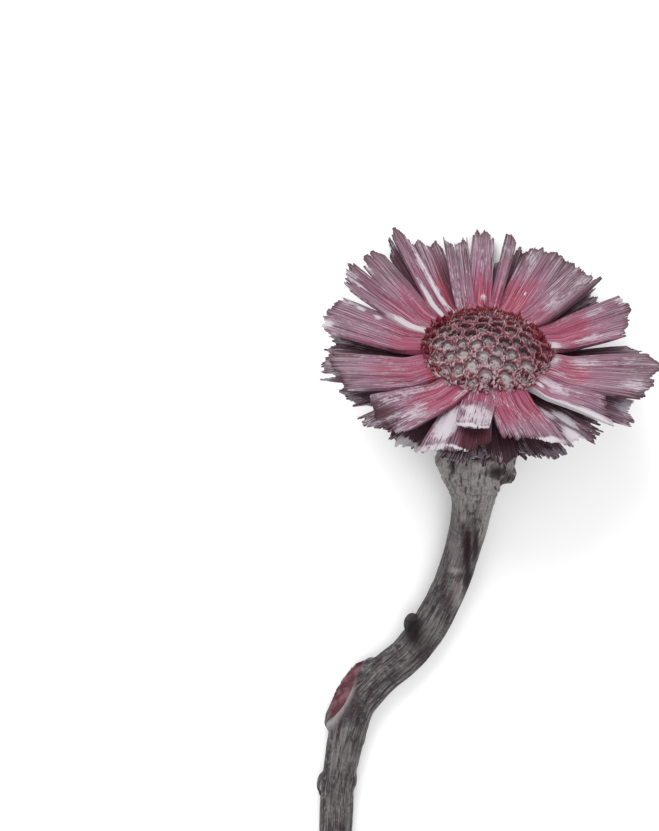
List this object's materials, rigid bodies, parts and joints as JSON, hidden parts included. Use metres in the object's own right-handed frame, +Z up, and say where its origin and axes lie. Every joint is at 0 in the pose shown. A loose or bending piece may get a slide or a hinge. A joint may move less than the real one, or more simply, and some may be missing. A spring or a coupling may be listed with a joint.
{
  "type": "dried protea rosette on its stem",
  "caption": "Dried, dyed and limewashed protea rosette: ragged woody bracts round a domed disc of empty seed cups, on a bent woody stem that lies on the table.",
  "frame": {"origin": "on the table, under the middle of the whole object as it lies", "axes": "+Z up from the table; +Y along the object from the stem's cut end to the head; +X to the right as seen from above"},
  "size_m": [0.0776, 0.2932, 0.0573],
  "materials": {
    "bark": "dry fissured bark with a thin grey-white wash in its grain",
    "bract": "dry fibrous bract dyed rose to plum, limewashed along the fibres, torn at its end",
    "disc": "burgundy cups with grey-white insides and pale pointed scale tips"
  },
  "bodies": {
    "root": {"stem": "bark", "bracts": "bract", "seed_disc": "disc"}
  },
  "joints": []
}
